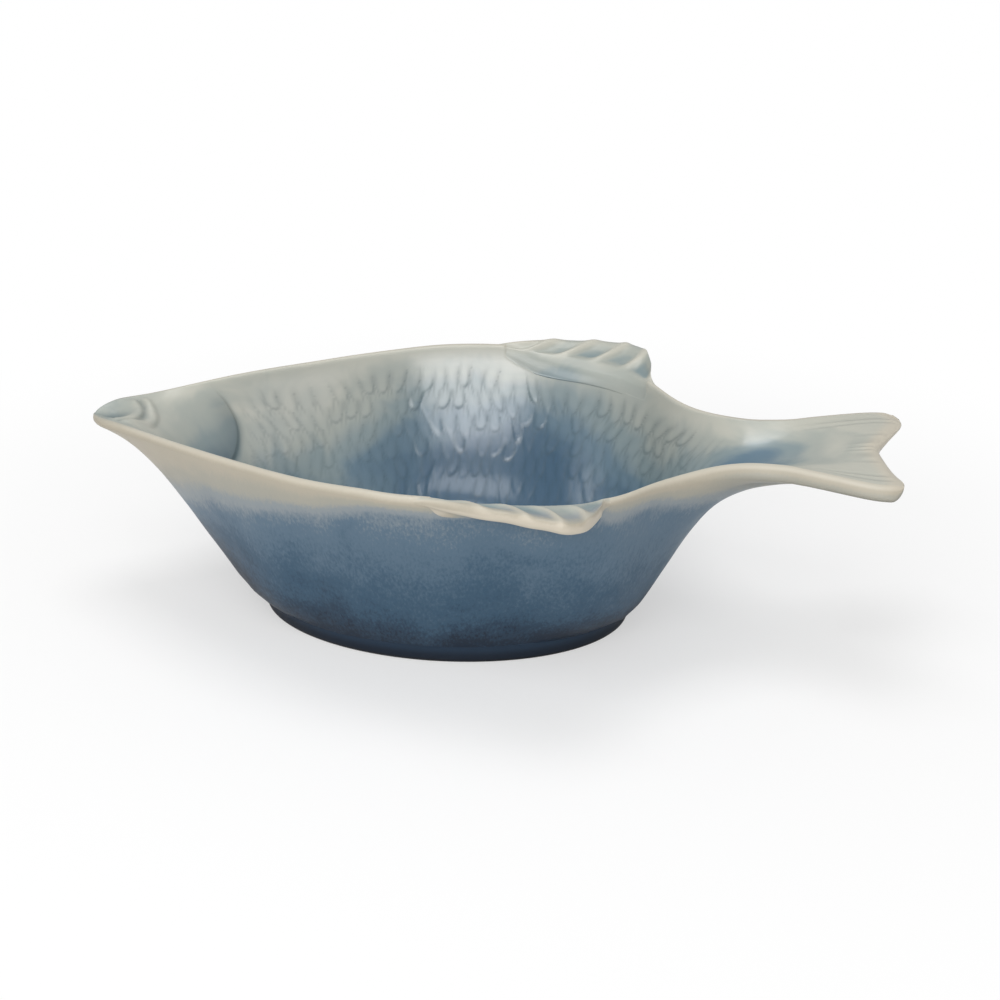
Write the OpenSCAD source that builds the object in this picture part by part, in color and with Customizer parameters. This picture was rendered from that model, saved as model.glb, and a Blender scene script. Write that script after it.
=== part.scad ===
// Fish-shaped serving bowl in glazed stoneware, mouth at -X, tail at +X, back fin at +Y.
// The origin is on the table, under the middle of the body's length and width.

/* [Body] */
// Length from the mouth to the tips of the tail
body_len = 290; // [200:1:400]
// Width across the crest of the rim, without the fins
body_w = 154; // [120:1:170]
// Height of the rim at the widest place
belly_h = 74.6; // [60:0.1:110]
// Height of the rim in the notch behind the fins
notch_h = 69.6; // [58:0.1:100]
// Thickness of the floor and of the sloping ends
floor_t = 5.5; // [4:0.1:9]
// Thickness of the wall at its round rim
rim_t = 4.6; // [3.5:0.1:7]

/* [Head] */
// Height of the rim at the mouth
mouth_h = 66.8; // [55:0.1:100]
// Thickness of the tip of the mouth, from the rim down to the underside
mouth_t = 3.8; // [3:0.1:8]
// Thickness of the lips on the centre line
lip_t = 9; // [7:0.1:14]
// Length of the lips from the mouth
lip_len = 24; // [18:1:34]
// Height of the ridges on the lips
lip_ridge = 0.9; // [0:0.1:1.5]
// Number of ridges on the lips
lip_ridges = 2; // [1:1:4]
// Length of the round nose in front of the mouth
nose_len = 4; // [2:0.1:8]
// Length of the head on the centre line, from the mouth to the edge of the gill cover
head_len = 50; // [44:1:66]
// How far the gill edge sweeps towards the mouth on its way up to the rim
gill_sweep = 10; // [0:0.5:14]
// How far the gill cover stands proud of the wall behind it
gill_step = 1.4; // [0.4:0.1:2.5]

/* [Fins] */
// How far a fin stands out past the rim
fin_reach = 15.8; // [8:0.2:30]
// Length of a fin along the rim
fin_len = 69; // [50:1:80]
// Distance from the middle of the body to the rear end of the fins
fin_rear = 55; // [40:1:60]
// How far the edge of a fin stands above the rim beside it
fin_rise = 1.4; // [0:0.1:6]
// How far a fin sweeps back towards the tail
fin_sweep = 10.6; // [0:0.2:14]
// Thickness of a fin
fin_t = 4.8; // [3.5:0.1:7]
// Depth of the hollows between the rays of a fin
fin_ray_depth = 1.3; // [0:0.1:2]
// Number of hollows in a fin
fin_hollows = 5; // [3:1:8]

/* [Tail] */
// Width of the stalk at its narrowest place
stalk_w = 41.8; // [30:0.2:56]
// Length of the stalk of the tail
stalk_len = 22; // [14:1:26]
// Length of the tail fin, from the stalk to its tips
tail_len = 45; // [36:1:60]
// Width of the tail fin
tail_w = 68.6; // [56:0.2:100]
// Height of the rim along the tail
tail_h = 71.6; // [58:0.1:105]
// Thickness of the tail on the centre line, at the fork
tail_t = 7; // [5:0.1:10]
// Thickness of the round edge of the tail
tail_edge = 8.6; // [6:0.1:10]
// Drop from the edge of the tail to its dished top
tail_dip = 1.4; // [0.6:0.1:3]
// Depth of the fork between the two tips
fork_depth = 7; // [2:0.5:16]

/* [Foot] */
// Length of the oval foot ring
foot_len = 134; // [110:1:150]
// Width of the oval foot ring
foot_w = 97; // [70:1:104]
// Height of the foot ring
foot_h = 5.5; // [3:0.1:10]
// Width of the clay that stands on the table
foot_band = 9; // [5:0.5:16]
// Distance of the middle of the foot from the middle of the body, towards the mouth
foot_set = 14; // [8:1:20]

/* [Hidden] */

// Colours of the glaze from the pale rim to the dark bare foot
cream = [0.78, 0.77, 0.72];
grey_green = [0.66, 0.69, 0.66];
blue = [0.35, 0.45, 0.55];
slate = [0.16, 0.20, 0.25];

// Gap at the two ends of a fin, where the rim goes on beside it
seam = 0.1;
// Half width of the narrow keel under the head and the tail
keel_half = 3;
// Least reach of a fin past the rim, at its two ends
fin_lead = 0.6;
// Length over which the end of the tail is rounded
tail_round = 4;
// Length over which the floor bends up into the sloping ends
floor_bend = 9;

// Steps along each stretch, and columns across half of a section
lip_steps = 12;
head_steps = 7;
belly_steps = 14;
fin_steps = 36;
rear_steps = 6;
stalk_steps = 7;
tail_steps = 10;
flat_cols = 3;
wall_cols = 7;
rim_cols = 3;
crown_cols = 2;
fin_cols = 9;
foot_sides = 120;
edge_cols = flat_cols + wall_cols;
half_cols = edge_cols + rim_cols;

// Places along the body as shares of its length, from the mouth
lip_end = lip_len / body_len;
gill_at = head_len / body_len;
fin_end = 0.5 + fin_rear / body_len;
fin_start = fin_end - fin_len / body_len;
tail_start = 1 - tail_len / body_len;
stalk_start = tail_start - stalk_len / body_len;
foot_x = -foot_set;

// Half width of the rim: [share of the length, share of half the body's width]
body_rim_shares = [
    [0, 0.07], [0.012, 0.097], [0.034, 0.155], [0.055, 0.215], [0.1, 0.343], [0.144, 0.468],
    [0.19, 0.588], [0.237, 0.7], [0.284, 0.805], [0.334, 0.893], [0.385, 0.955], [0.437, 0.99],
    [0.49, 1], [0.541, 0.982], [0.593, 0.94], [0.641, 0.858], [0.672, 0.772], [0.69, 0.695],
    [0.718, 0.54], [0.742, 0.437], [0.769, 0.354], [0.794, 0.301]];
// The same for the tail, as shares of half its width
stalk_place_shares = [0.82, 0.843];
tail_rim_shares = [[0.867, 0.64], [0.891, 0.725], [0.94, 0.9], [0.963, 0.968], [0.985, 0.998], [1, 1]];
// Rise of the rim from the mouth to the belly, and its fall to the notch
rise_shares = [[0, 0], [0.05, 0.14], [0.15, 0.42], [0.25, 0.56], [0.33, 0.72], [0.4, 0.92], [0.48, 1]];
fall_shares = [[0.56, 0.1], [0.66, 0.68], [0.735, 1]];
tail_rise_shares = [[0.8, 0.5], [0.9, 1], [1, 1]];
// Rise of the keel from the end of the foot to the mouth and to the tail
head_keel_shares = [
    [0, 0], [0.11, 0.06], [0.25, 0.25], [0.4, 0.485], [0.55, 0.7], [0.7, 0.86], [0.85, 0.955], [1, 1]];
tail_keel_shares = [
    [0, 0], [0.06, 0.08], [0.14, 0.29], [0.22, 0.515], [0.3, 0.695], [0.38, 0.8], [0.5, 0.885], [0.7, 0.95],
    [1, 1]];
// How a wall swells between keel and rim: straight at the belly, round at the ends
belly_power_share = 1.09;
end_power_share = 2;
// Pull of the inside curve towards its lower corner, and the corner's place past the flat floor
belly_pull_share = 2.4;
end_pull_share = 1;
belly_corner_share = 0.06;
end_corner_share = 0.4;
// Reach of the inside floor past the foot, as a share of half the foot's length
floor_reach_share = 1.5;
// Reach of a fin along its root, and the way it sweeps back
reach_shares = [
    [0, 0], [0.15, 0.1], [0.3, 0.37], [0.45, 0.63], [0.6, 0.86], [0.7, 0.99], [0.78, 1], [0.84, 0.86],
    [0.9, 0.55], [0.95, 0.18], [1, 0]];
sweep_power_share = 1.25;
// Shape of the end of the tail from the fork to the corner, as shares of the fork's depth
fork_shares = [[0, 1], [0.25, 0.86], [0.5, 0.57], [0.72, 0.15], [0.85, 0], [0.94, 0.1], [1, 0.43]];
// Least thickness of a rounded end, as a share of the full thickness
blunt_share = 0.3;
// Part of a fin's reach over which its edge is rounded
fin_round_share = 0.25;
// Turn of the rim's last columns towards its crest, as a share of a quarter turn
crest_share = 0.92;

rim_table = concat(
    [for (p = body_rim_shares) [p[0], p[1] * body_w / 2]],
    [for (p = stalk_place_shares) [p, stalk_w / 2]],
    [for (p = tail_rim_shares) [p[0], p[1] * tail_w / 2]]);
height_table = concat(
    [for (p = rise_shares) [p[0], mouth_h + p[1] * (belly_h - mouth_h)]],
    [for (p = fall_shares) [p[0], belly_h + p[1] * (notch_h - belly_h)]],
    [for (p = tail_rise_shares) [p[0], notch_h + p[1] * (tail_h - notch_h)]]);

function clamp(a) = min(max(a, 0), 1);
function ease(a) = clamp(a) ^ 2 * (3 - 2 * clamp(a));
function mix(a, b, share) = a + (b - a) * share;
// Height of a round end at a share of its depth, from blunt to full
function round_end(share) = sqrt(1 - (1 - clamp(share)) ^ 2 * (1 - blunt_share ^ 2));

// Smooth curve through a table of [place, value] rows
function row_at(table, s) = max([for (k = [0 : len(table) - 2]) if (k == 0 || table[k][0] <= s) k]);
function slope(table, k) =
    let (a = table[max(k - 1, 0)], b = table[min(k + 1, len(table) - 1)])
    (b[1] - a[1]) / (b[0] - a[0]);
function smooth(table, s) =
    let (k = row_at(table, s), a = table[k], b = table[k + 1], h = b[0] - a[0], u = clamp((s - a[0]) / h))
    a[1] * (1 + 2 * u) * (1 - u) ^ 2 + b[1] * u ^ 2 * (3 - 2 * u)
    + h * u * (1 - u) * (slope(table, k) * (1 - u) - slope(table, k + 1) * u);

// The fish along its length, s from 0 at the mouth to 1 at the tips of the tail
function place(s) = body_len * (s - 0.5);
function rim_half(s) = smooth(rim_table, s);
function rim_z(s) = smooth(height_table, s);
function to_tail(s) = ease((s - fin_end) / (tail_start - fin_end));
// Radius of the rim's outer and inner quarters
function edge_out(s) = mix(rim_t, tail_edge, to_tail(s)) / 2;
function edge_in(s) = mix(rim_t / 2, tail_dip, to_tail(s));
function off_foot(s) = abs(place(s) - foot_x) / (foot_len / 2);
function to_ends(s) = ease(2 * off_foot(s) - 1);
function keel_z(s) =
    let (before = (foot_x - foot_len / 2 - place(s)) / (foot_x - foot_len / 2 - place(0)),
        after = (place(s) - foot_x - foot_len / 2) / (place(1) - foot_x - foot_len / 2))
    before > 0 ? mix(foot_h, mouth_h - mouth_t, smooth(head_keel_shares, before))
    : after > 0 ? mix(foot_h, tail_h - tail_t, smooth(tail_keel_shares, after))
    : foot_h;
function flat_half(s) =
    max(foot_w / 2 * sqrt(max(0, 1 - off_foot(s) ^ 2)), min(keel_half, rim_half(s) / 3));
function floor_half(s) = foot_w / 2 * cos(90 * min(off_foot(s) / floor_reach_share, 1)) ^ 2;
// Inside keel: the floor's thickness square to the slope, thicker at the lips
function floor_z(s) =
    let (step = floor_bend / body_len, before = keel_z(s - step), after = keel_z(s + step),
        steep = (after - before) / (2 * floor_bend), lips = ease(2 - s / lip_end),
        low = (before + 2 * keel_z(s) + after) / 4)
    min(low + floor_t * sqrt(1 + steep ^ 2) + (lip_t - floor_t) * lips, rim_z(s) - edge_in(s) - seam);

// Place of column j on half a section, as a share of the half width
function across(s, j) =
    let (flat = flat_half(s), edge = rim_half(s) + edge_out(s), up = (j - flat_cols) / wall_cols)
    j < flat_cols ? flat * j / flat_cols : mix(flat, edge, min(up, 1));
function share_across(s, j) =
    mix(j / edge_cols, across(s, j) / across(s, edge_cols), to_ends(s));
function outer_wall(s, j) =
    let (flat = flat_half(s), y = across(s, j), up = clamp((y - flat) / (across(s, edge_cols) - flat)),
        power = mix(belly_power_share, end_power_share, to_ends(s)))
    [y, mix(keel_z(s), rim_z(s) - edge_out(s), up ^ power)];
// Weighted curve from the floor's centre to the rim, drawn towards the lower corner
function inner_wall(s, j) =
    let (t = min(share_across(s, j), 1), ends = to_ends(s), r = edge_in(s),
        edge = max(rim_half(s) - r, rim_half(s) / 2), low = floor_z(s),
        corner = mix(floor_half(s), edge, mix(belly_corner_share, end_corner_share, ends)),
        pull = 2 * mix(belly_pull_share, end_pull_share, ends) * t * (1 - t),
        all = (1 - t) ^ 2 + pull + t ^ 2)
    [(pull * corner + t ^ 2 * edge) / all, mix(low, rim_z(s) - r, t ^ 2 / all)];
function rim_arc(s, turn) =
    let (r = turn < 90 ? edge_out(s) : edge_in(s))
    [rim_half(s) + min(r, rim_half(s) / 2) * cos(turn), rim_z(s) + r * (sin(turn) - 1)];
// Column of the rim on its outer or inner side, round or left flat for a fin
function rim_point(s, j, inside, finned) =
    let (up = crest_share * (j - edge_cols) / rim_cols,
        a = outer_wall(s, edge_cols), b = inner_wall(s, edge_cols))
    finned ? mix(inside ? b : a, inside ? a : b, up / 2) : rim_arc(s, inside ? 180 - 90 * up : 90 * up);

// Lines across the body bow forward at the gill and follow the fork at the tail
function bowed(s, j) =
    let (t = min(share_across(s, min(j, edge_cols)), 1),
        gill = ease(1 - abs(s - gill_at) / (gill_at - lip_end)),
        tail = ease((s - tail_start) / (1 - tail_start)))
    s - gill_sweep / body_len * t ^ 2 * gill - fork_depth / body_len * smooth(fork_shares, t) * tail;

// Raised work on the inside: ridged lips and the gill cover
function relief(s, j, raised) =
    let (t = min(share_across(s, min(j, edge_cols)), 1), lips = sin(180 * clamp(s / lip_end)),
        cover = raised ? ease((s - lip_end) / (gill_at - lip_end)) : 0)
    (1 - t ^ 4) * (gill_step * cover - lip_ridge * lips * cos(360 * lip_ridges * s / lip_end));

// Point of the outer or inner skin at station s and column j, near side where j is negative
function skin(s, j, inside, finned = false, raised = false) =
    let (k = abs(j), at = bowed(s, k),
        wall = inside ? inner_wall(at, min(k, edge_cols)) : outer_wall(at, min(k, edge_cols)),
        flat = k > edge_cols ? rim_point(at, k, inside, finned) : wall,
        nose = round_end(at * body_len / nose_len), end = round_end((1 - s) * body_len / tail_round),
        mid = (rim_z(at) + keel_z(at)) / 2, below = outer_wall(at, min(k, edge_cols))[1],
        above = inner_wall(at, min(k, edge_cols))[1], lift = inside ? relief(s, k, raised) : 0,
        core = (below + above) / 2, z = mix(core, flat[1], end) + lift * end)
    [place(at), sign(j) * flat[0] * nose, mix(mid, z, nose)];
function rows(stations, inside, raised = false) =
    [for (p = stations) [for (j = [-half_cols : half_cols]) skin(p[0], j, inside, p[1], raised)]];

// Stations of a stretch, each [share of the length, whether a fin stands on the rim there]
function stretch(from, to, steps, finned = false) =
    [for (i = [0 : steps]) [mix(from, to, i / steps), finned]];
nose_stations = [for (a = [0 : 30 : 60]) [nose_len / body_len * (1 - cos(a)), false]];
fin_stations = stretch(fin_start, fin_end, fin_steps, true);
bowl_stations = concat(
    stretch(gill_at, fin_start - seam / body_len, belly_steps), fin_stations,
    stretch(fin_end + seam / body_len, stalk_start, rear_steps));
tail_stations = concat(
    stretch(tail_start, 1 - tail_round / body_len, tail_steps),
    [for (a = [30 : 30 : 90]) [1 - tail_round / body_len * (1 - sin(a)), false]]);

// Closed solid between two sheets of points in rows, the first below the second
module sheet_solid(below, above) {
    n = len(below);
    m = len(below[0]);
    top = n * m;
    points = [for (sheet = [below, above]) for (row = sheet) for (p = row) p];
    skins = [
        for (i = [0 : n - 2])
            for (j = [0 : m - 2])
                let (a = i * m + j, b = a + 1, c = a + m, d = c + 1)
                each [
                    [a, d, b], [a, c, d],
                    [top + a, top + b, top + d], [top + a, top + d, top + c]]];
    sides = [
        for (i = [0 : n - 2])
            let (a = i * m, c = a + m, b = a + m - 1, d = c + m - 1)
            each [
                [a, top + a, top + c], [a, top + c, c],
                [b, top + d, top + b], [b, d, top + d]]];
    ends = [
        for (j = [0 : m - 2])
            let (a = j, b = j + 1, c = (n - 1) * m + j, d = c + 1)
            each [
                [a, b, top + b], [a, top + b, top + a],
                [c, top + d, d], [c, top + c, top + d]]];
    polyhedron(points, concat(skins, sides, ends), convexity = 6);
}

// A fin on the far side: q runs along its root, c from the rim out to its edge
function fin_root(q) = mix(fin_start, fin_end, q);
function fin_hump(q) = smooth(reach_shares, q);
function fin_half_t(q) = mix(rim_t / 4, fin_t / 2, ease(2 * fin_hump(q)));
function fin_hollow(q) = fin_ray_depth * (1 - cos(360 * fin_hollows * q)) / 2 * fin_hump(q);
function fin_mid(q, c) =
    let (s = fin_root(q), half_t = fin_half_t(q), out = rim_half(s) + edge_out(s),
        tip = out + fin_lead + fin_reach * fin_hump(q) - fin_hollow(q),
        swept = place(s) + fin_sweep * sin(180 * q ^ sweep_power_share),
        high = mix(rim_z(s) - edge_out(s), rim_z(s) + fin_rise - half_t, ease(2 * fin_hump(q))))
    [mix(place(s), swept, c), mix(rim_half(s), tip, c), mix(rim_z(s) - half_t, high, c)];
function fin_point(q, k, above) =
    let (s = fin_root(q), c = max(0, k - crown_cols) / (fin_cols - crown_cols),
        root = skin(s, edge_cols, above), hollow = fin_hollow(q) * sin(180 * c),
        half_t = fin_half_t(q) * round_end((1 - c) / fin_round_share),
        arc = rim_arc(s, 180 - 90 * k / crown_cols), mid = fin_mid(q, c))
    above ? (k < crown_cols ? [place(s), arc[0], arc[1]] : mid + [0, 0, half_t - hollow])
    : mix(root, mid - [0, 0, half_t], k / fin_cols * (2 - k / fin_cols));
module fin() {
    qs = [for (i = [0 : fin_steps]) i / fin_steps];
    sheet_solid(
        [for (q = qs) [for (k = [0 : fin_cols]) fin_point(q, k, false)]],
        [for (q = qs) [for (k = [0 : fin_cols]) fin_point(q, k, true)]]);
}

module section_solid(stations, raised = false) {
    sheet_solid(rows(stations, false), rows(stations, true, raised));
}
module mouth_lip() {
    color(cream)
        section_solid(concat(nose_stations, stretch(nose_len / body_len, lip_end, lip_steps)), true);
}
module head() {
    color(grey_green)
        section_solid(stretch(lip_end, gill_at, head_steps), true);
}
module bowl() {
    color(blue)
        section_solid(bowl_stations);
}
module dorsal_fin() {
    color(cream)
        fin();
}
module ventral_fin() {
    color(cream)
        mirror([0, 1, 0])
            fin();
}
module tail_stalk() {
    color(grey_green)
        section_solid(stretch(stalk_start, tail_start, stalk_steps));
}
module tail_fin() {
    color(cream)
        section_solid(tail_stations);
}

// Oval ring of bare clay that the bowl stands on
module oval(length, width) {
    polygon([for (i = [0 : foot_sides - 1])
        let (a = 360 * i / foot_sides)
        [length / 2 * cos(a), width / 2 * sin(a)]]);
}
module foot_ring() {
    color(slate)
        translate([foot_x, 0, 0])
            linear_extrude(foot_h)
                difference() {
                    oval(foot_len, foot_w);
                    oval(foot_len - 2 * foot_band, foot_w - 2 * foot_band);
                }
}

mouth_lip();
head();
bowl();
dorsal_fin();
ventral_fin();
tail_stalk();
tail_fin();
foot_ring();
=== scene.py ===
# Fish-shaped serving bowl in glazed stoneware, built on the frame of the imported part. Lengths are in metres.
import math

import bpy
import numpy as np
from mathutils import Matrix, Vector


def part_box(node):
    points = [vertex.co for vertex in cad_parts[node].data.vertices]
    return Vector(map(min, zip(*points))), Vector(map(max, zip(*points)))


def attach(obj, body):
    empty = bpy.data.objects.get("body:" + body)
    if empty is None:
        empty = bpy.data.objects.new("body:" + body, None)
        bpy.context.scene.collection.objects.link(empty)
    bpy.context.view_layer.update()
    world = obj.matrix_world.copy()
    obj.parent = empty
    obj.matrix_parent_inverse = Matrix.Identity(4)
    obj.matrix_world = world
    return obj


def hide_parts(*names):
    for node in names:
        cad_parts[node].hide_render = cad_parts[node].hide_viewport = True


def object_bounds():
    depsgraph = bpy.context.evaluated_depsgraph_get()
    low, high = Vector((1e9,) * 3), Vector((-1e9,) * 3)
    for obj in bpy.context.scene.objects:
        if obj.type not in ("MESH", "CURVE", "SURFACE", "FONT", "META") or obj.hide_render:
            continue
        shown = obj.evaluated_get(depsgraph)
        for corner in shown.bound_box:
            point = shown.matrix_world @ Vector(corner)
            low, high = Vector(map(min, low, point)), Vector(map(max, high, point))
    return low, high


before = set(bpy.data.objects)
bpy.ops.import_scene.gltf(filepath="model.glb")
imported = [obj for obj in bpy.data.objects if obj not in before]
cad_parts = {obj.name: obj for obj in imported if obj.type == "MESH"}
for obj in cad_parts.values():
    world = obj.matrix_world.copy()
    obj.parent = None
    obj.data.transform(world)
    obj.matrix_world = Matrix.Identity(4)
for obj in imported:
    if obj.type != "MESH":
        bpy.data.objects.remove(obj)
cad_low, cad_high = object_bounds()

# Bowl
# The belly of the fish: a deep stoneware wall about 5 mm thick, pressed in a mould, with a round rim.
# Rows of hanging scales are carved into its inside. Their cuts and the sides of their tongues are painted
# darker, partly for glaze that gathers there and partly as painted shade.
mm = 0.001
body_len = cad_high.x - cad_low.x
bowl_low, bowl_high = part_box("bowl")
foot_low, foot_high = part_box("foot_ring")
foot_len, foot_w, foot_h = foot_high - foot_low
foot_x = (foot_low.x + foot_high.x) / 2
rim_t = 4.6 * mm
floor_t = 5.5 * mm
floor_bend = 9 * mm
floor_least_drop = 0.1 * mm
keel_half = 3 * mm
body_w = bowl_high.y - bowl_low.y - rim_t
belly_h = bowl_high.z
near_lift = 1.8 * mm
fin_root_depth = 9.5 * mm
near_fin_pace = 1.07

# Sizes of the mouth and of the tail, which the wall of the belly runs on into
mouth_h = 66.8 * mm
mouth_t = 3.8 * mm
nose_len = 7 * mm
nose_lift = 0.5 * mm
lip_t = 9 * mm
gill_sweep = 10 * mm
notch_h = 69.6 * mm
stalk_w = 41.8 * mm
tail_edge = 8.6 * mm
tail_dip = 1.4 * mm
tail_t = 7 * mm
tail_round = 4 * mm
tail_corner_len = 10 * mm
tail_corner_w = 3 * mm
tail_arch = 2.6 * mm
fork_depth = 7 * mm
tail_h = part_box("tail_fin")[1].z
tail_w = 2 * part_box("tail_fin")[1].y - tail_edge


def share_at(x):
    """Share of the length from the mouth, 0, to the tips of the tail, 1."""
    return (x - cad_low.x) / body_len


lip_end = share_at(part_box("mouth_lip")[1].x)
gill_at = share_at(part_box("head")[1].x)
fin_start = share_at(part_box("dorsal_fin")[0].x)
fin_end = share_at(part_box("dorsal_fin")[1].x)
stalk_start = share_at(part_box("tail_stalk")[0].x)
tail_start = share_at(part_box("tail_fin")[0].x)

# Outline of the rim and of the keel as [share of the length, share of the size that they follow]
body_rim_shares = [
    [0, 0.09], [0.012, 0.114], [0.034, 0.165], [0.055, 0.215], [0.1, 0.343], [0.144, 0.468],
    [0.19, 0.588], [0.237, 0.7], [0.284, 0.805], [0.334, 0.893], [0.385, 0.955], [0.437, 0.99],
    [0.49, 1], [0.541, 0.982], [0.593, 0.94], [0.641, 0.858], [0.672, 0.772], [0.69, 0.695],
    [0.718, 0.54], [0.742, 0.437], [0.769, 0.354], [0.794, 0.301]]
stalk_place_shares = [0.82, 0.843]
tail_rim_shares = [[0.867, 0.64], [0.891, 0.725], [0.94, 0.9], [0.963, 0.968], [0.985, 0.998], [1, 1]]
rise_shares = [[0, 0], [0.05, 0.14], [0.15, 0.42], [0.25, 0.56], [0.33, 0.72], [0.4, 0.92], [0.48, 1]]
fall_shares = [[0.56, 0.1], [0.66, 0.68], [0.735, 1]]
tail_rise_shares = [[0.8, 0.5], [0.9, 1], [1, 1]]
head_keel_shares = [
    [0, 0], [0.11, 0.06], [0.25, 0.25], [0.4, 0.485], [0.55, 0.7], [0.7, 0.86], [0.85, 0.955], [1, 1]]
tail_keel_shares = [
    [0, 0], [0.06, 0.08], [0.14, 0.29], [0.22, 0.515], [0.3, 0.695], [0.38, 0.8], [0.5, 0.885],
    [0.7, 0.95], [1, 1]]
far_fork_shares = [
    [0, 1.15], [0.1, 1.1], [0.25, 0.9], [0.4, 0.62], [0.55, 0.36], [0.68, 0.14], [0.78, 0.03], [0.86, 0],
    [0.93, 0.1], [1, 0.4]]
near_fork_shares = [
    [0, 1.15], [0.1, 1.12], [0.25, 1], [0.4, 0.86], [0.55, 0.7], [0.7, 0.5], [0.82, 0.3], [0.9, 0.17],
    [0.96, 0.1], [1, 0.08]]
gill_shares = [[0, 0.65], [0.25, 0.6], [0.45, 0.46], [0.62, 0.3], [0.75, 0.38], [0.86, 0.8], [1, 1.6]]
reach_shares = [
    [0, 0.02], [0.08, 0.1], [0.15, 0.2], [0.3, 0.43], [0.45, 0.66], [0.58, 0.86], [0.66, 0.96], [0.73, 1],
    [0.79, 0.95], [0.84, 0.81], [0.89, 0.56], [0.94, 0.27], [1, 0.09], [1.05, 0.02], [1.1, 0]]
fin_root_shares = [
    [0, 0], [0.1, 0.25], [0.22, 0.68], [0.35, 0.95], [0.5, 1], [0.75, 0.85], [0.95, 0.75], [1.1, 0.5]]
rim_table = (
    [[s, share * body_w / 2] for s, share in body_rim_shares]
    + [[s, stalk_w / 2] for s in stalk_place_shares]
    + [[s, share * tail_w / 2] for s, share in tail_rim_shares])
height_table = (
    [[s, mouth_h + share * (belly_h - mouth_h)] for s, share in rise_shares]
    + [[s, belly_h + share * (notch_h - belly_h)] for s, share in fall_shares]
    + [[s, notch_h + share * (tail_h - notch_h)] for s, share in tail_rise_shares])


def clamp(a):
    """Number held between 0 and 1."""
    return np.clip(a, 0, 1)


def ease(a):
    """Soft step from 0 to 1."""
    a = clamp(a)
    return a * a * (3 - 2 * a)


def mix(a, b, share):
    """Number at a share of the way from a to b."""
    return a + (b - a) * share


def bell(a, middle, reach):
    """Soft hump of height 1."""
    return np.exp(-((a - middle) / reach) ** 2)


def rounded(share):
    """Height of a quarter round at a share of its depth."""
    return np.sqrt(1 - (1 - clamp(share)) ** 2)


def smooth(table, s):
    """Smooth curve through a table of [place, value] rows."""
    at, value = np.array(table, float).T
    before = np.maximum(np.arange(len(at)) - 1, 0)
    after = np.minimum(np.arange(len(at)) + 1, len(at) - 1)
    slope = (value[after] - value[before]) / (at[after] - at[before])
    k = np.clip(np.searchsorted(at, s, side="right") - 1, 0, len(at) - 2)
    h = at[k + 1] - at[k]
    u = clamp((s - at[k]) / h)
    return (
        value[k] * (1 + 2 * u) * (1 - u) ** 2 + value[k + 1] * u ** 2 * (3 - 2 * u)
        + h * u * (1 - u) * (slope[k] * (1 - u) - slope[k + 1] * u))


def place(s):
    """Place along the body at a share of its length."""
    return cad_low.x + body_len * s


def keel_z(s):
    """Height of the underside on the centre line: flat over the foot, rising to the mouth and the tail."""
    before = (foot_low.x - place(s)) / (foot_low.x - cad_low.x)
    after = (place(s) - foot_high.x) / (cad_high.x - foot_high.x)
    head = mix(foot_h, mouth_h - mouth_t, smooth(head_keel_shares, before))
    tail = mix(foot_h, tail_h - tail_t, smooth(tail_keel_shares, after))
    return np.where(before > 0, head, np.where(after > 0, tail, foot_h))


def fin_run(s, side):
    """Share of the way along a fin. The near fin is a little shorter than the far one."""
    return np.maximum((s - fin_start) / (fin_end - fin_start), 0) * (1 if side > 0 else near_fin_pace)


def fin_hump(s, side):
    """Share of its full reach that a fin has at a station."""
    return smooth(reach_shares, fin_run(s, side))


def fin_grown(s, side):
    """Share of the way that a fin has grown out over the rim at a station."""
    return ease(3 * fin_hump(s, side))


def fin_root(s, side):
    """How far down the inside of the wall a fin is rooted at a station."""
    return fin_root_depth * smooth(fin_root_shares, fin_run(s, side))


# Half width of the underside: the oval of the foot, run out softly past its ends
underside_stations = np.linspace(-0.2, 1.2, 1401)
underside_step = (underside_stations[1] - underside_stations[0]) * body_len
underside_run_out = 20 * mm
underside_stretch = 1.04
from_foot = (place(underside_stations) - foot_x) / (foot_len / 2)
from_foot = np.where(from_foot < 0, from_foot / underside_stretch, from_foot)
oval = foot_w / 2 * np.sqrt(np.maximum(0, 1 - from_foot ** 2))
softened = np.hanning(2 * round(underside_run_out / underside_step) + 1)
underside_half = np.convolve(oval, softened / softened.sum(), "same")

# Bends of a section, with pairs for the belly and for the two ends of the body
flat_share = 0.3
floor_reach_share = 1.5
floor_corner_shares = 0.06, 0.4
floor_pull_shares = 2.4, 1
hull_bow_shares = 1.09, 2
most_lean = 1.15
gill_fade_share = 0.14
nose_lift_share = 0.075
nose_height_share = 0.35
tail_tip_share = 0.15
near_lift_at, near_lift_reach, near_lift_end, near_lift_fade = 0.28, 0.13, 0.4, 0.05


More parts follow.
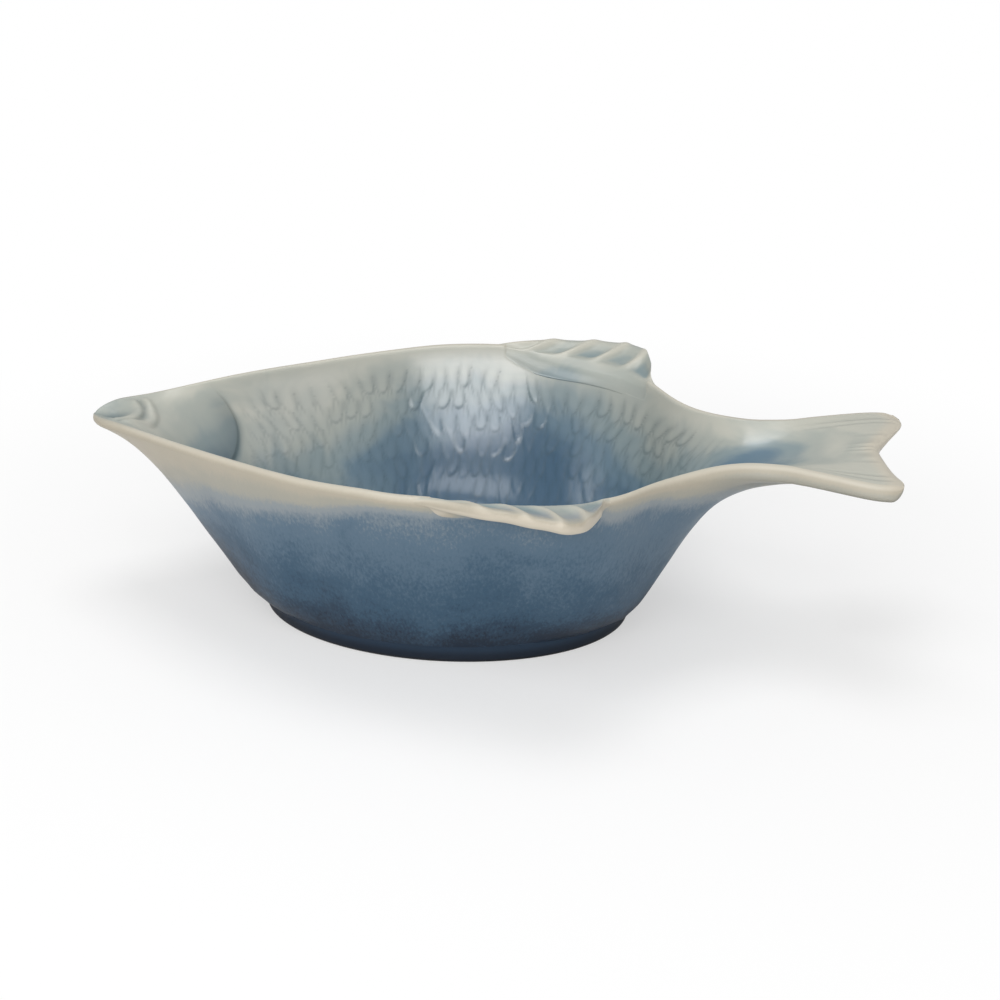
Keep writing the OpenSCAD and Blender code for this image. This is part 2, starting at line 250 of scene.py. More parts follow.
def section(s, p, side=1):
    """Half of the plain skin, drawn on the far side. p runs from the middle of the floor, 0, up the inside to
    the rim, 1, over the rim to 2, and down the outside to the keel, 3."""
    s, p = np.broadcast_arrays(s, p)
    off_foot = np.abs(place(s) - foot_x) / (foot_len / 2)
    ends = ease(2 * off_foot - 1)
    w = clamp(3 - p)

    def widths(at):
        """Half width at the middle of the rim, and the rim's radius on its outside and its inside."""
        to_tail = ease((at - fin_end) / (tail_start - fin_end))
        near_tip = clamp(1 - (1 - at) * body_len / tail_corner_len)
        half = smooth(rim_table, at) - tail_corner_w * (1 - np.sqrt(1 - near_tip ** 2))
        return half, mix(rim_t, tail_edge, to_tail) / 2, mix(rim_t / 2, tail_dip, to_tail)

    def outer_y(at, half, edge_out):
        """Half width of the underside, and of the outside at p."""
        flat = np.hypot(np.interp(at, underside_stations, underside_half), np.minimum(keel_half, half / 3))
        wall = mix(flat, half + edge_out, clamp((w - flat_share) / (1 - flat_share)))
        return flat, np.where(w < flat_share, flat * w / flat_share, wall)

    half, edge_out, _ = widths(s)
    t = np.where(p <= 1, p, mix(w, outer_y(s, half, edge_out)[1] / (half + edge_out), ends))
    gill = ease(1 - np.abs(s - gill_at) / np.where(s < gill_at, gill_at - lip_end, gill_fade_share))
    tail = ease((s - tail_start) / (1 - tail_start))
    fork = smooth(far_fork_shares if side > 0 else near_fork_shares, t)
    at = s - (gill_sweep * smooth(gill_shares, t) * gill + fork_depth * fork * tail) / body_len

    half, edge_out, edge_in = widths(at)
    end = mix(tail_tip_share, 1, rounded((1 - s) * body_len / tail_round))
    edge_out = edge_out * end
    rim_z = smooth(height_table, at)
    if side < 0:
        lifted = bell(at, near_lift_at, near_lift_reach) * (1 - ease((at - near_lift_end) / near_lift_fade))
        rim_z = rim_z + near_lift * lifted
    keel = keel_z(at)
    off_foot = np.abs(place(at) - foot_x) / (foot_len / 2)
    ends = ease(2 * off_foot - 1)
    flat, y_out = outer_y(at, half, edge_out)
    y_out = np.where(p <= 1, t * (half + edge_out), y_out)
    up = clamp((y_out - flat) / (half + edge_out - flat))
    z_out = mix(keel, rim_z - edge_out, up ** mix(*hull_bow_shares, ends))

    step = floor_bend / body_len
    steep = (keel_z(at + step) - keel_z(at - step)) / (2 * floor_bend)
    low = (keel_z(at - step) + 2 * keel + keel_z(at + step)) / 4
    thick = floor_t * np.sqrt(1 + steep ** 2) + (lip_t - floor_t) * ease(2 - at / lip_end)
    floor_z = np.minimum(low + thick, rim_z - edge_in - floor_least_drop)
    edge = np.maximum(half - edge_in, half / 2)
    floor_half = foot_w / 2 * np.cos(math.pi / 2 * np.minimum(off_foot / floor_reach_share, 1)) ** 2
    corner = mix(floor_half, edge, mix(*floor_corner_shares, ends))
    lean = np.clip(np.arctan2(edge - corner, rim_z - edge_in - floor_z), 0, most_lean)
    edge = np.maximum(half - edge_in * np.cos(lean), half / 2)
    top_z = rim_z - edge_in * (1 - np.sin(lean))
    pull = 2 * mix(*floor_pull_shares, ends) * t * (1 - t)
    whole = (1 - t) ** 2 + pull + t ** 2
    y_in = (pull * corner + t ** 2 * edge) / whole
    z_in = mix(floor_z, top_z, t ** 2 / whole)

    inward = p < 1.5
    turn = np.where(inward, mix(math.pi - lean, math.pi / 2, clamp(2 * p - 2)), math.pi * clamp(2 - p))
    y_rim = half + np.where(inward, np.minimum(edge_in, half / 2), edge_out) * np.cos(turn)
    z_rim = rim_z + np.where(inward, edge_in, edge_out) * (np.sin(turn) - 1)
    y = np.where(p < 1, y_in, np.where(p <= 2, y_rim, y_out))
    z = np.where(p < 1, z_in, np.where(p <= 2, z_rim, z_out))
    nose = rounded(at * body_len / nose_len)
    z = mix((z_in + z_out) / 2, z, end) + tail_arch * tail * (1 - t ** 2)
    z = z + nose_lift * (1 - ease(at / nose_lift_share))
    return np.stack([place(at), y * nose, mix(mix(rim_z, keel, nose_height_share), z, nose)], -1)


# Columns of points round half a section, closest together on the carved wall
inner_cols, rim_cols, hull_cols, sole_cols = 148, 10, 13, 5
belly_at = 0.45
floor_closeness, carved_from, carved_run = 0.45, 0.2, 0.15
sole_from = 2.7
fine = np.linspace(0, 1, 400)
steps = np.linalg.norm(np.diff(section(belly_at, fine), axis=0), axis=1)
steps = steps * mix(floor_closeness, 1, ease((fine[1:] - carved_from) / carved_run))
closeness = np.concatenate([[0], np.cumsum(steps)])
columns = np.concatenate([
    np.interp(np.linspace(0, 1, inner_cols + 1), closeness / closeness[-1], fine)[:-1],
    np.linspace(1, 2, rim_cols + 1)[:-1],
    np.linspace(2, sole_from, hull_cols + 1)[:-1],
    np.linspace(sole_from, 3, sole_cols + 1)])
crest_col = inner_cols + rim_cols // 2
edge_col = inner_cols + rim_cols


def stretch(start, stop, step):
    """Stations from start to stop, about a step of length apart."""
    return np.linspace(start, stop, int(math.ceil((stop - start) * body_len / step)) + 1)


# Glaze along the length: how pale the inside stays, partly for paler glaze and partly as a painted reflection
# on the wall behind the head, and how far down the pale band of the outside reaches and how softly it ends, in
# mm
pale_and_reflection_shares = [
    [0, 0.7], [0.06, 0.7], [0.1, 0.45], [0.165, 0.05], [0.18, 0.72], [0.28, 0.62], [0.33, 0.4], [0.37, 0.14],
    [0.44, 0.05], [0.6, 0], [0.7, 0.33], [0.78, 0.45], [0.88, 0.7], [1, 0.85]]
band_table = [
    [0, 12], [0.1, 7], [0.2, 3.5], [0.3, 1.2], [0.37, 1.8], [0.43, 3], [0.49, 4.5], [0.55, 3.5], [0.62, 0],
    [0.7, 1], [0.76, 3], [0.84, 6], [0.92, 9], [1, 12]]
soften_table = [
    [0, 60], [0.12, 42], [0.2, 28], [0.3, 18], [0.38, 10], [0.44, 5], [0.66, 5], [0.72, 10], [0.8, 20],
    [1, 34]]
soften_under_fin = 4

# How much glaze gathers, and how much painted shade darkens the outside further down, towards the foot and low
# on the head, with the place where each starts and the run over which it grows. Depths are in mm
trough_fall, trough_at, trough_reach = 0.62, 0.82, 0.075
mouth_fall, mouth_reach = 0.26, 0.06
inside_start, inside_run, inside_bend = 2, 36, 0.8
pale_loss, pale_start, pale_run = 0.35, 15, 22
# The outside darkens further below the rim and towards the foot: partly thicker glaze, partly painted shade
hull_fall, hull_glaze_and_shade_gain, hull_run = 0.39, 0.46, 70
foot_glaze_and_shade, foot_start, foot_run = 0.2, 3, 22
# Painted shade low on the outside of the head
head_shade, head_shade_start, head_shade_run = 0.3, 22, 20
head_shade_end, head_shade_fade = 0.33, 0.18
rim_fall_shares, stalk_from, stalk_run = (0.06, 0.15), 0.74, 0.1
under_rim, under_rim_run = 1.6, 0.35
fin_band_from, fin_band_run = 0.1, 0.4


def glaze_and_painted_light_fall(s, p, z, inside, side):
    """How far the colour has run from the pale edges, 0, to the deepest blue, 1: mostly how thick the glaze
    lies, with painted shade low on the outside and a painted reflection inside behind the head.
    """
    below = np.maximum(smooth(height_table, s) - z, 0) / mm
    trough = trough_fall * bell(s, trough_at, trough_reach) * ease(1.5 - 1.6 * p)
    mouth = mouth_fall * bell(s, 0, mouth_reach)
    # Paler inside behind the head: partly paler glaze, partly a painted reflection
    pale_and_reflection = smooth(pale_and_reflection_shares, s) * (1 - pale_loss * clamp((below - pale_start) / pale_run))
    fall_in = clamp((below - inside_start) / inside_run) ** inside_bend * (1 - pale_and_reflection) + trough + mouth
    bare_band = 1 - fin_grown(s, side) * ease((fin_run(s, side) - fin_band_from) / fin_band_run)
    band_end = mix(soften_under_fin, smooth(soften_table, s), bare_band)
    to_blue = ease((below - bare_band * smooth(band_table, s)) / band_end)
    # Painted darker towards the foot: partly thicker glaze, partly painted shade
    to_foot_glaze_and_shade = 1 - ease((z / mm - foot_start) / foot_run)
    # Painted shade low on the outside of the head
    head_low_shade = head_shade * ease((head_shade_end - s) / head_shade_fade) * ease((below - head_shade_start) / head_shade_run)
    below_rim = mix(*rim_fall_shares, ease((s - stalk_from) / stalk_run))
    below_rim = below_rim * ease((p - under_rim) / under_rim_run)
    hull = hull_fall + hull_glaze_and_shade_gain * clamp(below / hull_run) + foot_glaze_and_shade * to_foot_glaze_and_shade + head_low_shade
    return mix(mix(below_rim, hull, to_blue), fall_in, inside)


dry_gloss, wet_gloss = 0.12, 0.95
dry_rim, dry_rim_run = 1 * mm, 6 * mm


def glaze_gloss(inside, below):
    """How wet the glaze looks: glossy down the inside, dry on the rim and the outside."""
    return inside * mix(dry_gloss, wet_gloss, ease((below - dry_rim) / dry_rim_run))


seat_depth = 4.5 * mm
seat_lip = 1 * mm
seat_bend = 1.3


def fin_seat(spot):
    """How far the rim is cut down under a fin."""
    p, down = spot["p"], spot["half"] - spot["middle"]
    covered = fin_root(spot["s"], spot["side"]) - seat_lip
    to_rim = clamp((covered - down) / np.maximum(covered, seat_lip))
    under_fin = ease(2 * fin_grown(spot["s"], spot["side"]) - 1)
    return seat_depth * to_rim ** seat_bend * (1 - ease(2 * p - 3)) * under_fin


tail_edge_pale, tail_edge_from, tail_edge_run = 0.7, 0.972, 0.02
crest_rub, crest_full = 0.4, 1.4 * mm
cut_dull = 0.8


def skin(stations, side, carvings):
    """Half of the skin on the far side, 1, or the near side, -1, with its carving and its marks of glaze,
    painted shade and painted reflection.
    """
    s, p = stations[:, None], columns[None, :]
    points = section(s, p, side)
    nudge = 0.002
    along = section(np.minimum(s + nudge, 1), p, side) - section(np.maximum(s - nudge, 0), p, side)
    across = section(s, np.minimum(p + nudge, 3), side) - section(s, np.maximum(p - nudge, 0), side)
    normal = np.cross(along, across)
    normal /= np.maximum(np.linalg.norm(normal, axis=-1, keepdims=True), 1e-12)
    length = np.zeros(points.shape[:2])
    length[:, 1:] = np.cumsum(np.linalg.norm(np.diff(points, axis=1), axis=-1), axis=1)
    spot = {
        "s": s + 0 * p, "p": p + 0 * s, "x": points[..., 0], "y": points[..., 1],
        "middle": length, "half": length[:, inner_cols:inner_cols + 1], "side": side}
    lift = np.zeros(points.shape[:2])
    pool_and_shade = np.zeros(points.shape[:2])
    for carve in carvings:
        height, gathered_and_shaded = carve(spot)
        lift += height
        pool_and_shade = np.maximum(pool_and_shade, gathered_and_shaded)
    at_end = ease((spot["s"] - tail_edge_from) / tail_edge_run)
    inside = (1 - ease(spot["p"] - 1)) * (1 - tail_edge_pale * at_end)
    fall = glaze_and_painted_light_fall(spot["s"], spot["p"], points[..., 2], inside, side)
    below = smooth(height_table, spot["s"]) - points[..., 2]
    marks = {
        "inside": inside, "fall": fall, "pool_and_shade": clamp(pool_and_shade), "crest": crest_rub * clamp(lift / crest_full),
        "gloss": glaze_gloss(inside, below) * (1 - cut_dull * clamp(pool_and_shade)), "bare": 0 * pool_and_shade}
    points = points + normal * lift[..., None]
    points[..., 2] -= fin_seat(spot)
    points[:, [0, -1], 1] = 0
    points[..., 1] *= side
    return points, marks


def hash_share(*keys):
    """Repeatable random share from 0 to 1 for whole-number keys."""
    mixed = sum(np.asarray(k) * f for k, f in zip(keys, (12.9898, 78.233, 37.719)))
    return np.abs(np.sin(mixed) * 43758.5453) % 1


# Scales hang in rows, each row half a scale out of step with the one above and lapping over the one below
scale_pitch = 5.6 * mm
scale_row = 8.8 * mm
scale_row_tail = 7.4 * mm
scale_row_x, scale_row_run = 20 * mm, 60 * mm
scale_depth = 0.2 * mm
scale_edge = 0.7 * mm
scale_line = 0.45 * mm
scale_band = 3 * mm
scale_centre_x = -4 * mm
scale_seam = 7 * mm
scale_draw_in = 0.36
scale_drop_shares = 0.4, 1.35
scale_slope = 0.55
long_wave, long_wander = 13 * mm, 0.2
short_wave, short_wander = 5.7 * mm, 0.14
row_shift, scale_stagger = 0.3, 0.4
tongue_bend, tongue_round = 2.6, 0.6
swell_least, swell_run, swell_droop, swell_plain = 0.3, 1.5, 0.12, 0.4
# Darkness painted along the cuts and down the sides of each tongue: partly glaze that gathers there, partly
# painted shade of the relief
line_dark, wedge_shade_dark = 0.9, 0.5
side_shade_least, side_shade_more, side_shade_run = 0.15, 0.45, 0.9


def scale_rows(spot, down, side):
    """Relief of one side's rows at a distance down the wall from the rim, and how dark its cuts and the sides
    of its tongues are painted, partly for glaze that gathers there and partly as painted shade.
    """
    x = spot["x"]
    row_h = mix(scale_row, scale_row_tail, ease((x - scale_row_x) / scale_row_run))
    v = (down - np.maximum(scale_band, fin_root(spot["s"], side))) / row_h
    drawn_in = 1 - scale_draw_in * clamp(down / spot["half"])
    wander = long_wander * np.sin(x / long_wave + 1.3 * v + side)
    wander = wander + short_wander * np.sin(x / short_wave - 2.3 * v)
    u = (scale_centre_x + (x - scale_centre_x) / drawn_in) / scale_pitch + wander
    height = np.zeros(x.shape)
    cut = np.zeros(x.shape)
    for step in (1, 0, -1, -2):
        row = np.floor(v) + step
        shifted = u + 0.5 * (row % 2) + row_shift * (hash_share(row, side) - 0.5)
        one = np.floor(shifted)
        seed = hash_share(row, one, side)
        a = 2 * (shifted - one - 0.5)
        b = v - row + scale_stagger * (seed - 0.5)
        tongue = clamp(1 - np.abs(a) ** tongue_bend) ** tongue_round
        drop = mix(*scale_drop_shares, tongue)
        swell = mix(swell_least, 1, clamp(b / swell_run)) * (1 - swell_droop * a ** 2)
        swell = swell * mix(swell_plain, 1, seed)
        edge = (drop - b) * row_h * scale_slope
        cover = ease(edge / (2 * scale_edge) + 0.5) * (row >= 0)
        height = mix(height, swell, cover)
        # Painted darker down the sides of each tongue and in the wedges between tongues: partly glaze, partly
        # painted shade
        side_shade = ease(1.5 * np.abs(a) - 0.35) * ease(b / side_shade_run)
        side_shade = side_shade * (side_shade_least + side_shade_more * seed)
        line = line_dark * bell(edge, -0.5 * scale_line, scale_line) * ease(4 * seed - 2 + 1.5 * a)
        wedge_shade = wedge_shade_dark * bell(edge, -1.6 * scale_edge, 2.2 * scale_edge) * ease(3 * np.abs(a) - 1.2)
        cut = mix(np.maximum(cut, np.maximum(line, wedge_shade) * (row >= 0)), side_shade, cover)
    return height, cut


# Where the scales fade: behind the gills, towards the stalk, under the rim and on the floor
scale_gill_run = 6 * mm
scale_front_share, scale_front, scale_front_run = 0.75, 0.28, 0.12
scale_end_x, scale_end_run = 66 * mm, 24 * mm
scale_rim_gap, scale_rim_run = 2 * mm, 7 * mm
scale_flat_x, scale_flat_run, scale_flat_loss = 8 * mm, 22 * mm, 0.4
scale_floor_loss = 0.4


def carve_scales(spot):
    """The scales of both sides, which run into each other along the middle of the floor."""
    far = spot["side"]
    own, own_cut = scale_rows(spot, spot["half"] - spot["middle"], far)
    other, other_cut = scale_rows(spot, spot["half"] + spot["middle"], -far)
    share = ease(0.5 + spot["middle"] / (2 * scale_seam))
    behind_gill = ease((spot["s"] - gill_at) * body_len / scale_gill_run - 0.2)
    behind_gill = behind_gill * mix(scale_front_share, 1, ease((spot["s"] - scale_front) / scale_front_run))
    to_stalk = 1 - ease((spot["x"] - scale_end_x) / scale_end_run)
    on_wall = (spot["p"] < 1) * ease((spot["half"] - spot["middle"] - scale_rim_gap) / scale_rim_run)
    deep = 1 - scale_floor_loss * ease(1.3 - 2.2 * spot["middle"] / spot["half"])
    shallow = 1 - scale_flat_loss * ease((spot["x"] - scale_flat_x) / scale_flat_run)
    strength = behind_gill * to_stalk * on_wall * deep
    height = scale_depth * mix(other, own, share) * strength * shallow
    return height, mix(other_cut, own_cut, share) * strength


gill_cover, gill_roll, gill_shade_reach = 0.7 * mm, 1.6 * mm, 7 * mm
gill_groove, gill_groove_w = 0.3 * mm, 1 * mm
cover_pool_and_shade, groove_pool = 0.72, 0.55


def carve_gill(spot):
    """Cover of the gills: the head stands proud of the wall and rolls down to a groove along its edge."""
    before = (gill_at - spot["s"]) * body_len
    cover = ease((spot["s"] - lip_end) / (gill_at - lip_end)) * rounded(before / gill_roll) * (before > 0)
    cut = bell(before, -0.4 * gill_groove_w, gill_groove_w)
    on_wall = (spot["p"] < 1) * ease((1 - spot["p"]) * 7)
    # The head is painted darker towards the gill edge: partly thick glaze, partly painted shade of the step
    pool_and_shade = np.where(before > 0, cover_pool_and_shade * bell(before, 0, gill_shade_reach), groove_pool * cut)
    return (gill_cover * cover - gill_groove * cut) * on_wall, pool_and_shade * on_wall * ease((1 - spot["p"]) * 4)


MARKS = ("inside", "fall", "pool_and_shade", "crest", "gloss", "bare")


def zipped(one, other):
    """Triangles between two rows of points that start and end together."""
    faces, i, j = [], 0, 0
    end_i, end_j = len(one) - 1, len(other) - 1
    while i < end_i or j < end_j:
        if j == end_j or (i < end_i and (i + 1) * end_j <= (j + 1) * end_i):
            faces.append([one[i], one[i + 1], other[j]])
            i += 1
        else:
            faces.append([one[i], other[j + 1], other[j]])
            j += 1
    return faces


fired = []
meet = 0.001 * mm


def clay_piece(name, sheets, caps=()):
    """Closed mesh of sheets and caps. A sheet is a grid of points, its marks, whether it is turned over and
    which of its faces are out of the glaze. A cap is triangles and whether they show. Points that meet are
    one."""
    points = np.concatenate([sheet[0].reshape(-1, 3) for sheet in sheets])
    marks = {m: np.concatenate([sheet[1][m].ravel() for sheet in sheets]) for m in MARKS}
    faces, shown, start = [], [], 0
    for grid, _, turned, hidden in sheets:
        n, m = grid.shape[:2]
        index = start + np.arange(n * m).reshape(n, m)
        quads = np.stack([index[:-1, :-1], index[1:, :-1], index[1:, 1:], index[:-1, 1:]], -1)
        quads = quads.reshape(-1, 4)
        faces += (quads[:, ::-1] if turned else quads).tolist()
        visible = np.ones((n - 1, m - 1), bool)
        for rows, cols in hidden:
            visible[rows, cols] = False
        shown += visible.ravel().tolist()
        start += n * m
    for triangles, seen in caps:
        faces += triangles
        shown += [seen] * len(triangles)
    spots = np.round(points / meet)
    _, first, same = np.unique(spots, axis=0, return_index=True, return_inverse=True)
    same = same.ravel()
    kept_faces, kept_shown = [], []
    for face, seen in zip(faces, shown):
        corners = list(dict.fromkeys(same[face].tolist()))
        if len(corners) > 2:
            kept_faces.append(corners)
            kept_shown.append(seen)
    mesh = bpy.data.meshes.new(name)
    mesh.from_pydata(points[first].tolist(), [], kept_faces)
    mesh.polygons.foreach_set("use_smooth", kept_shown)
    for m in MARKS:
        layer = mesh.attributes.new(m, "FLOAT", "POINT")
        layer.data.foreach_set("value", marks[m][first].astype(np.float32))
    mesh.update()
    piece = bpy.data.objects.new(name, mesh)
    bpy.context.scene.collection.objects.link(piece)
    fired.append((piece, np.array(kept_shown)))
    return piece


def body_piece(name, stations, carvings, front="joined", back="joined", hidden=()):
    """Closed piece of the body between two stations: both halves of its skin and its ends."""
    far, far_marks = skin(stations, 1, carvings)
    near, near_marks = skin(stations, -1, carvings)
    m = len(columns)
    caps = []
    for end, kind, turned in ((0, front, False), (len(stations) - 1, back, True)):
        for start, mirrored in ((0, False), (len(stations) * m, True)):
            row = start + end * m
            inner = list(range(row, row + crest_col + 1))
            outer = list(range(row + m - 1, row + crest_col - 1, -1))
            faces = zipped(inner, outer)
            if kind != "closed":
                caps.append(([f[::-1] if turned != mirrored else f for f in faces], kind == "free"))
    sheets = [(far, far_marks, False, hidden), (near, near_marks, True, hidden)]
    return clay_piece(name, sheets, caps)


bowl_step = 0.63 * mm
bowl_stations = stretch(gill_at, stalk_start, bowl_step)
on_foot = np.abs(place(bowl_stations) - foot_x) < foot_len / 2
foot_rows = slice(int(np.argmax(on_foot)), int(np.nonzero(on_foot)[0][-1]))
underside = (foot_rows, slice(edge_col + hull_cols, None))
bowl = body_piece("bowl_wall", bowl_stations, [carve_scales, carve_gill], hidden=[underside])
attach(bowl, "root")
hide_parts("bowl")

# Head
# Front of the bowl from the lips to the gills, in the same clay and pressed in the same mould.
# Its inside stands a little proud and rolls down behind the gills. Towards them it is painted darker, partly
# for thick glaze and partly as painted shade.
head_step = 0.6 * mm
head = body_piece("head_wall", stretch(lip_end, gill_at, head_step), [carve_gill])
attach(head, "root")
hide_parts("head")

# Lips
# Tip of the bowl, thicker than the wall behind it, and the place from which it can be poured.
# Two bowed ridges and the hollow of the mouth are pressed into it.
lip_bow = 0.045 / mm
front_ridge, front_ridge_x, front_ridge_w = 0.9 * mm, 15.5 * mm, 2.2 * mm
back_ridge, back_ridge_x, back_ridge_w = 1 * mm, 21.5 * mm, 2 * mm
lip_cut, lip_cut_x, lip_cut_w = 0.6 * mm, 18.5 * mm, 1.1 * mm
hollow_depth, hollow_x, hollow_len, hollow_w = 1.4 * mm, 8 * mm, 4 * mm, 3.5 * mm
lip_start_run, lip_end_run = 4 * mm, 2 * mm
lip_cut_pool, hollow_pool = 0.7, 0.8
lip_step = 0.5 * mm


def carve_lips(spot):
    """Ridges of the lips, bowed towards the tail, and the hollow of the mouth in front of them."""
    x, across = spot["x"] - cad_low.x, spot["y"]
    bowed = x + lip_bow * across ** 2
    ridges = front_ridge * bell(bowed, front_ridge_x, front_ridge_w)
    ridges = ridges + back_ridge * bell(bowed, back_ridge_x, back_ridge_w)
    cut = bell(bowed, lip_cut_x, lip_cut_w)
    hollow = bell(x, hollow_x, hollow_len) * bell(across, 0, hollow_w)
    on_wall = (spot["p"] < 1) * ease((1 - spot["p"]) * 4) * ease(x / lip_start_run)
    on_wall = on_wall * ease((lip_end - spot["s"]) * body_len / lip_end_run)
    height = ridges - lip_cut * cut - hollow_depth * hollow
    return height * on_wall, clamp(lip_cut_pool * cut + hollow_pool * hollow) * on_wall


nose_stations = nose_len / body_len * (1 - np.cos(np.linspace(0, math.pi / 2, 10)))
lip_stations = np.concatenate([nose_stations[:-1], stretch(nose_len / body_len, lip_end, lip_step)])
lips = body_piece("lips", lip_stations, [carve_lips], front="closed")
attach(lips, "root")
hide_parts("mouth_lip")

# Tail stalk
# Narrow trough between the belly and the tail, of one wall with both of them.
# The last rows of scales fade out on it, and a shallow groove runs under its rolled rim.
roll_groove, roll_groove_x, roll_groove_run = 1.1 * mm, 98 * mm, 13 * mm
roll_groove_at, roll_groove_reach = 2.2, 0.09
# The groove is painted darker: partly glaze that gathers in it, partly painted shade under the roll
roll_pool_and_shade = 0.55
stalk_step = 0.8 * mm


def carve_roll(spot):
    """Groove under the rolled rim of the stalk and the tail."""
    groove = bell(spot["p"], roll_groove_at, roll_groove_reach)
    groove = groove * bell(spot["x"], roll_groove_x, roll_groove_run)
    return -roll_groove * groove, roll_pool_and_shade * groove


stalk = body_piece("stalk_trough", stretch(stalk_start, tail_start, stalk_step), [carve_scales, carve_roll])
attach(stalk, "root")
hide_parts("tail_stalk")

# Tail fin
# Flat fan at the end of the stalk, forked at its edge, which serves as a handle.
# Fine rays are cut into it: long ones beside its edges and short ones along the fork.
ray_depth = 0.35 * mm
ray_pool = 0.3
long_ray_shares, long_ray_w = (0.9, 0.8), 0.03
short_ray_count, short_ray_end, short_ray_fade = 6, 0.6, 0.2
tail_step = 0.7 * mm


def carve_tail(spot):
    """Rays of the tail: long ones that follow its sides and short ones that end at the fork."""
    t = spot["p"]
    run = (spot["s"] - tail_start) / (1 - tail_start)
    long_rays = sum(bell(t, at, long_ray_w) for at in long_ray_shares)
    ray_turn = 2 * math.pi * (short_ray_count * t + 0.25 * np.sin(11 * t))
    short_rays = (0.5 - 0.5 * np.cos(ray_turn)) * ease((short_ray_end - t) / short_ray_fade)
    on_wall = (t < 1) * ease((1 - run) * 8)
    cut = long_rays * ease(run * 2 - 0.2) + short_rays * ease(run * 3.2 - 2)
    return -ray_depth * cut * on_wall, ray_pool * clamp(cut) * on_wall


round_stations = 1 - tail_round / body_len * (1 - np.sin(np.linspace(0, math.pi / 2, 10)))
tail_stations = np.concatenate([stretch(tail_start, round_stations[0], tail_step), round_stations[1:]])
tail = body_piece("tail_fan", tail_stations, [carve_tail, carve_roll], back="free")
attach(tail, "root")
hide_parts("tail_fin")

# Fins
# A dorsal and a ventral fin, drawn out of the wall over the rim and swept towards the tail.
# Leaf-shaped hollows are pressed into the top of each, between ridges that run out to its edge.
fin_reach = 15.8 * mm
fin_rise = 1.4 * mm
fin_sweep = 10.6 * mm
fin_t = 4.6 * mm
fin_lead = 0.6 * mm
fin_lip = 0.25 * mm
fin_sink = 0.4 * mm
fin_corner_up = -0.2 * mm
near_crest = 3.6 * mm
near_crest_shares = [
    [0, 0.25], [0.12, 0.28], [0.25, 0.28], [0.5, 0.62], [0.72, 1], [0.9, 0.9], [1, 0.5], [1.1, 0]]
fin_ray_depth = 1.6 * mm
fin_scallop = 0.6 * mm
first_ray, ray_gap, ray_slant = 0.13, 0.18, 0.14
far_tip_shares, far_tip_run = (0.55, 0.85), 0.2
lip_from, flush_from, flush_run = 0.22, 0.66, 0.22
fin_pull = 1.25
top_edge_share, under_edge_share = 0.88, 0.75
p_edge, p_under = 1.9, 2.04
rim_sink_share = 0.12
fin_shares = np.concatenate([np.linspace(0, 0.6, 60)[:-1], np.linspace(0.6, 1.1, 110)])
fin_stations = mix(fin_start, fin_end, fin_shares)
top_cols, below_cols = 46, 18
top_spacing, under_bend = 1.4, 2.2
sweep_bend, sweep_from = 1.25, 0.3
lip_roll, lip_fade, sink_share = 0.04, 0.4, 0.012
leaf_from, leaf_run = 0.45, 0.25
leaf_loss, leaf_loss_from, leaf_loss_run = 0.65, 0.8, 0.2

# Glaze of the fins: how far it runs at the root, on the face, in the hollows, at the edge and underneath
far_root_falls, far_root_from, far_root_run = (0.42, 0.14), 0.35, 0.4
near_root_fall = 0.12
far_hollow_fall, near_hollow_fall = 0.34, 0.2
far_inner_end, near_inner_end, inner_run = 0.84, 0.6, 0.2
far_edge_fall, far_edge_from = 0.1, 0.8
near_edge_fall, near_edge_from = 0.12, 0.85
face_fall, edge_run = 0.1, 0.1
under_fall, under_from = 0.55, 0.15
own_from, own_run, off_root_run = 0.1, 0.35, 0.3
rim_covered = 0.7
fin_gloss = 0.1


